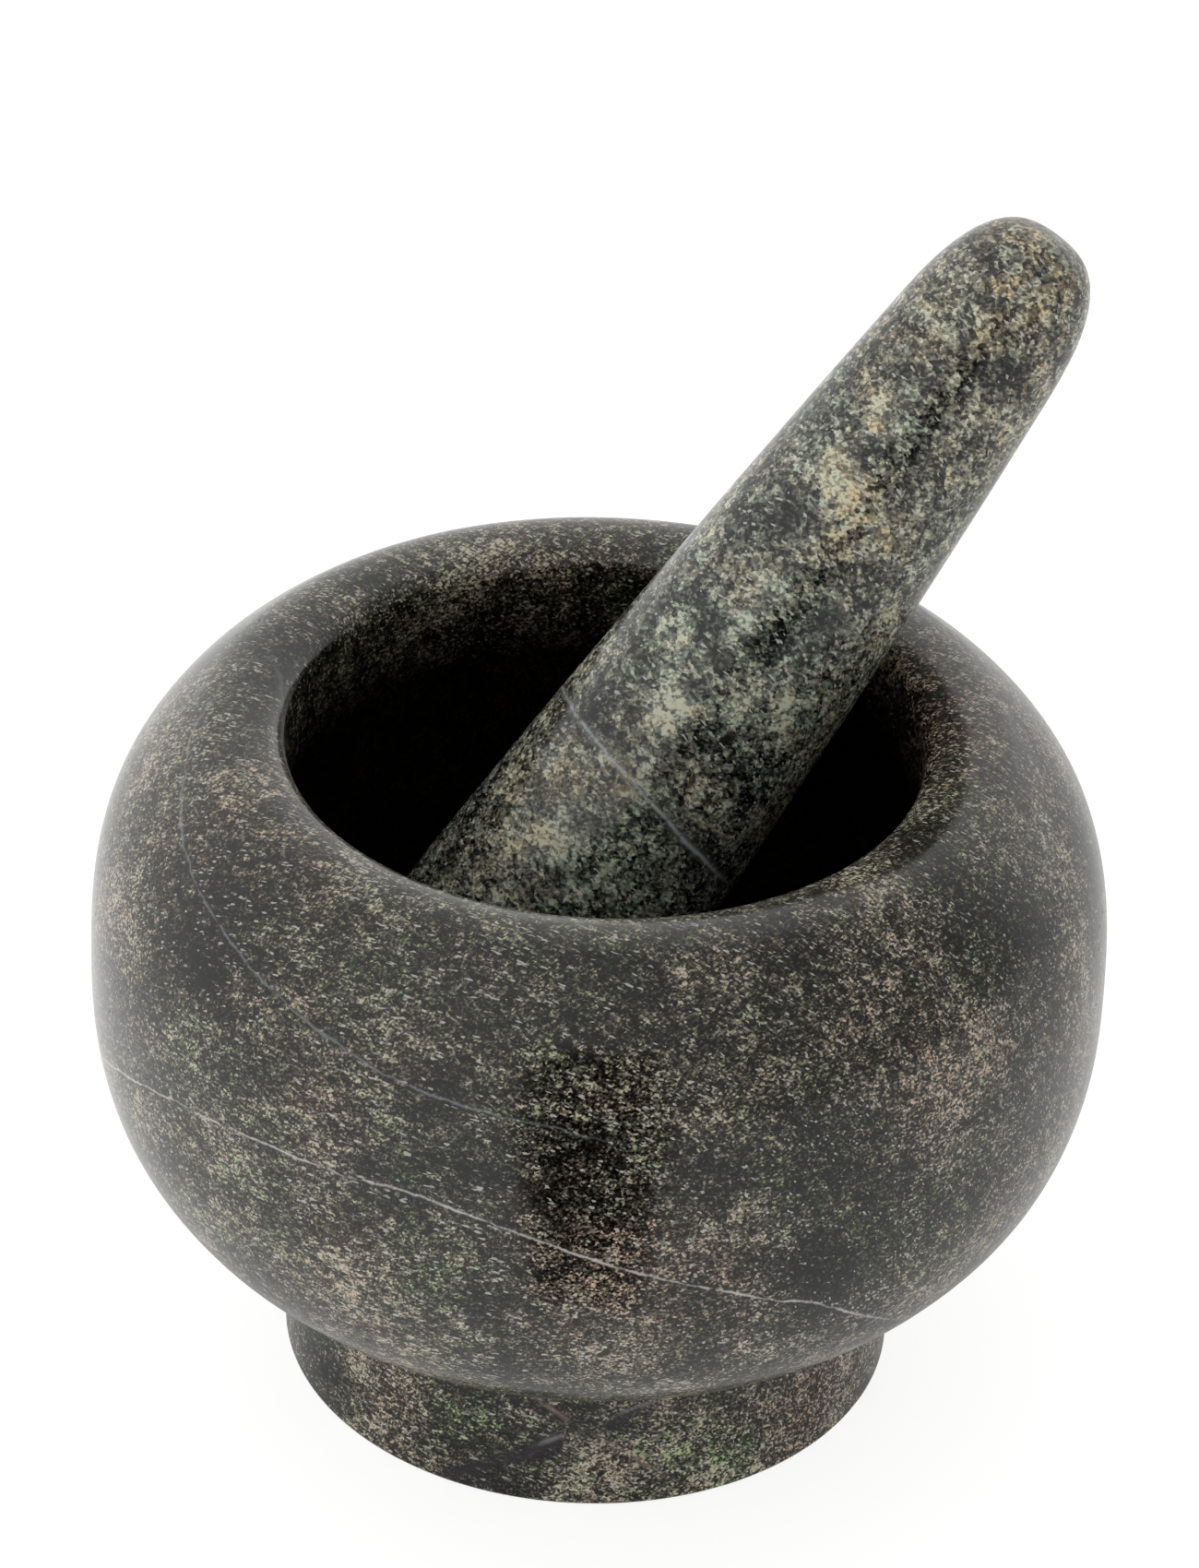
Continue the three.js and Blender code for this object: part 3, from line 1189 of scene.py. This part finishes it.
MORTAR_GRANITE = GraniteFinish(
    name="dark_mortar_granite",
    fine=Crystals(3300.0, 2.1, (0.476, 0.774, 0.418)),
    crossing=Crystals(3900.0, 2.0, (-0.62, 0.55, 0.56)),
    coarse=Crystals(760.0, 1.8, (0.476, 0.774, 0.418), 1.3),
    needles=Crystals(4300.0, 3.6, (0.35, 0.80, 0.48), 0.8),
    shades=(
        (0.14, (0.0004, 0.0004, 0.0004)),
        (0.34, (0.0050, 0.0048, 0.0044)),
        (0.50, (0.0200, 0.0195, 0.0175)),
        (0.64, (0.0620, 0.0600, 0.0520)),
        (0.80, (0.1750, 0.1680, 0.1450)),
        (0.97, (0.4400, 0.4250, 0.3800)),
    ),
    tints=(
        (0.00, (0.74, 1.02, 0.52)),
        (0.18, (0.92, 1.02, 0.73)),
        (0.34, (1.00, 1.00, 0.81)),
        (0.50, (1.03, 0.98, 0.84)),
        (0.70, (1.08, 0.96, 0.80)),
        (1.00, (1.18, 0.90, 0.78)),
    ),
    needle_colour=(0.46, 0.45, 0.42),
    needle_share=0.035,
    drifts=74.0,
    drift_strength=0.46,
    coarse_strength=0.26,
    warmth=0.50,
    kind_strength=0.50,
    glossy=0.14,
    dull=0.25,
    patches=(
        Patch((-50, -56, 64), 18, 0.11, -0.18),
        Patch((-22, -71, 62), 13, 0.08, -0.22),
        Patch((51, -53, 84), 14, 0.13, 0.20),
        Patch((56, -45, 90), 9, 0.08, 0.16),
        Patch((40, -45, 106), 9, 0.08, 0.08),
        # Painted shade: darker on the inner lip at the right, where it catches no sheen; warmer for its
        # brown flecks.
        Patch((46, 5, 102), 14, -0.06, 0.34),
        # Painted shade: darker and warmer at the top of the front's dark reflection.
        Patch((0, -70, 92), 12, -0.03, 0.12),
        # Painted shade: darker on the lip's left.
        Patch((-61, -22, 102), 12, -0.08, -0.10),
        Patch((-66, -26, 90), 11, 0.00, -0.16),
        Patch((-28, -67, 49), 12, 0.12, 0.08),
        Patch((7, -65, 101), 12, 0.07, 0.10),
        Patch((23, -67, 93), 10, 0.07, 0.10),
        Patch((-25, 40, 108), 10, 0.08, -0.12),
        # Painted shade: darker and warmer down the front's dark reflection.
        Patch((0, -74, 76), 16, -0.03, 0.16),
        Patch((37, -64, 84), 10, -0.06, 0.04),
        Patch((32, -67, 58), 11, -0.08, -0.03),
        Patch((-28, -69, 68), 9, -0.10, 0.00),
        # Painted shade: this and the next patch darken the lip's left.
        Patch((-55, -42, 97), 14, -0.20, 0.03),
        Patch((-42, -31, 109), 12, -0.13, 0.03),
        Patch((0, -45, 8), 46, 0.03, -0.02),
        Patch((15, -43, 10), 10, 0.12, -0.30),
        Patch((24, -39, 4), 8, 0.10, -0.30),
        Patch((-31, -33, 10), 12, 0.14, 0.06),
        Patch((-18, -41, 12), 6, 0.10, -0.26),
        Patch((-14, -43, 2), 7, -0.10, 0.22),
        Patch((4, -45, 17), 6, -0.12, -0.20),
        Patch((33, -32, 6), 9, -0.06, 0.40),
    ),
    veins=(
        Vein((0.259, 0.478, 0.839), 22.3, (0.60, 0.58, 0.56), (-24, -72, 73), 98, 0.27, 4.5, 0.42, 0.66),
        Vein((-0.262, -0.298, 0.918), 48.8, (0.34, 0.34, 0.34), (54, -48, 55), 30, 0.28, 4.0, 0.44, 0.6),
        Vein((0.135, -0.165, 0.977), 96.7, (0.22, 0.24, 0.26), (-38, -40, 100), 62, 0.26, 6.0, 0.38, 0.5),
        Vein((-0.500, 0.102, 0.860), 6.4, (0.016, 0.012, 0.016), (-6, -45, 9), 24, 1.50, 4.0, 0.34, 0.8),
        Vein((-0.500, 0.102, 0.860), 7.2, (0.30, 0.30, 0.31), (3, -45, 14), 12, 0.6, 5.0, 0.46, 0.4),
        Vein((0.465, 0.535, 0.705), -14.1, (0.34, 0.24, 0.20), (2, -45, 13), 18, 0.6, 4.0, 0.46, 0.4),
    ),
    # A painted pale highlight along the mouth's edge, fading away from the front left.
    edge_highlight=EdgeHighlight(46.8, 47.6, 50.2, 92.0, (-27.0, -40.0, 98.0), 62.0, (0.27, 0.27, 0.26)),
)

# The bowl's granite: duller, with painted shade that darkens it towards the bottom of the hollow.
SHADED_BOWL_GRANITE = replace(
    MORTAR_GRANITE,
    name="shaded_bowl_granite",
    glossy=0.35,
    dull=0.6,
    specular=0.06,
    edge_highlight=None,
    painted_shade_top=110.0,
    painted_shade_depth=21.0,
    bowl_painted_shade=(0.03, 0.025, 0.015),
)

PESTLE_GRANITE = GraniteFinish(
    name="grey_green_pestle_granite",
    fine=Crystals(1500.0, 1.6, (0.80, 0.10, 0.59), 1.1),
    crossing=Crystals(2700.0, 1.8, (-0.25, 0.55, 0.79), 1.0),
    coarse=Crystals(500.0, 1.5, (0.80, 0.10, 0.59), 1.4),
    needles=Crystals(3400.0, 3.2, (0.60, 0.50, 0.62), 0.9),
    shades=(
        (0.10, (0.0030, 0.0034, 0.0038)),
        (0.34, (0.0400, 0.0410, 0.0390)),
        (0.50, (0.1080, 0.1080, 0.0960)),
        (0.66, (0.1980, 0.1980, 0.1680)),
        (0.82, (0.3350, 0.3350, 0.2720)),
        (0.97, (0.5600, 0.5600, 0.4700)),
    ),
    tints=(
        (0.00, (0.88, 0.99, 0.88)),
        (0.26, (0.93, 1.00, 0.92)),
        (0.48, (1.00, 1.00, 0.92)),
        (0.68, (1.04, 1.00, 0.84)),
        (0.88, (1.12, 0.97, 0.76)),
        (1.00, (1.20, 0.94, 0.70)),
    ),
    needle_colour=(0.50, 0.50, 0.44),
    needle_share=0.05,
    drifts=118.0,
    drift_strength=0.42,
    coarse_strength=0.36,
    warmth=0.50,
    kind_strength=0.50,
    glossy=0.16,
    dull=0.32,
    patches=(
        Patch((-15, -8, 60), 19, -0.09, -0.12),
        Patch((-14, -11, 58), 5.0, 0.60, 0.00),
        Patch((-17, -5, 66), 5, 0.26, 0.05),
        Patch((-15, -6, 90), 7, -0.20, -0.25),
        Patch((-7, -15, 77), 8, -0.24, -0.35),
        Patch((-9, -11, 116), 6.5, -0.22, -0.25),
        Patch((-3, -13, 127), 6, -0.16, -0.10),
        Patch((-13, -7, 110), 6, 0.18, 0.15),
        Patch((-13, -8, 99), 6.5, 0.06, 0.08),
        Patch((-16, 0, 85), 6, -0.16, -0.30),
        Patch((-8, -14, 85), 5, -0.12, -0.25),
        Patch((-16, 4, 83), 4.5, 0.12, 0.08),
        Patch((0, -9, 141), 4, 0.06, 0.30),
        Patch((-18, -1, 51), 7, -0.16, -0.25),
        Patch((-16, -5, 73), 6, -0.06, -0.40),
        Patch((-17, -9, 33), 9, 0.14, -0.15),
        # Partly the stone's own cream flecks, partly painted light: lighter on the lower right flank, as lit
        # from the right front.
        Patch((-4, -17, 68), 9, 0.26, 0.05),
        Patch((-7, -14, 98), 8, 0.16, 0.12),
        Patch((-10, -7, 132), 8, 0.12, 0.15),
        Patch((4, -19, 38), 9, -0.14, -0.10),
        Patch((-9, -17, 42), 7, 0.06, -0.35),
        Patch((3, -18, 56), 7, -0.12, -0.20),
    ),
    veins=(
        Vein((0.271, -0.018, 0.963), 40.8, (0.26, 0.27, 0.28), (-16, -8, 48), 34, 1.10, 3.5, 0.42, 0.40),
        Vein((0.271, -0.018, 0.963), 40.8, (0.42, 0.44, 0.46), (-16, -8, 48), 34, 0.42, 3.5, 0.43, 0.70),
        Vein((0.86, 0.10, 0.50), 28.0, (0.36, 0.37, 0.37), (-6, -14, 70), 40, 0.30, 3.0, 0.54, 0.5),
    ),
    place=(-17.2 * MM, 2.5 * MM, 55.4 * MM),
    turn=(0.0, math.radians(37.1), math.radians(23.8)),
)


def report(piece: bpy.types.Object, node: str) -> None:
    """Logs a piece's size and how far its box is from its CAD node's.

    Args:
        piece: The finished piece.
        node: The CAD node that it stands for.
    """
    corners = [piece.matrix_world @ Vector(corner) for corner in piece.bound_box]
    low = Vector(min(corner[axis] for corner in corners) for axis in range(3))
    high = Vector(max(corner[axis] for corner in corners) for axis in range(3))
    cad_low, cad_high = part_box(node)
    off = max(abs(value) for value in (*(low - cad_low), *(high - cad_high))) / MM
    faces = len(piece.data.polygons)
    size = [round(side / MM, 1) for side in high - low]
    log.info("%s: %d faces, %s mm, %.2f mm from the CAD box", piece.name, faces, size, off)


def main() -> None:
    """Builds the two stones, then the studio."""
    logging.basicConfig(level=logging.INFO, format="%(name)s: %(message)s")
    effects = StoneEffects()

    mortar = Mortar()
    mortar.build()
    mortar.dress(MORTAR_GRANITE, SHADED_BOWL_GRANITE, effects)
    report(mortar.piece, "mortar")

    pestle = Pestle()
    pestle.build()
    pestle.dress(PESTLE_GRANITE, effects)
    report(pestle.piece, "pestle")

    Studio().build()
    log.info("studio: floor, surround, flag and camera")


if __name__ == "__main__":
    main()
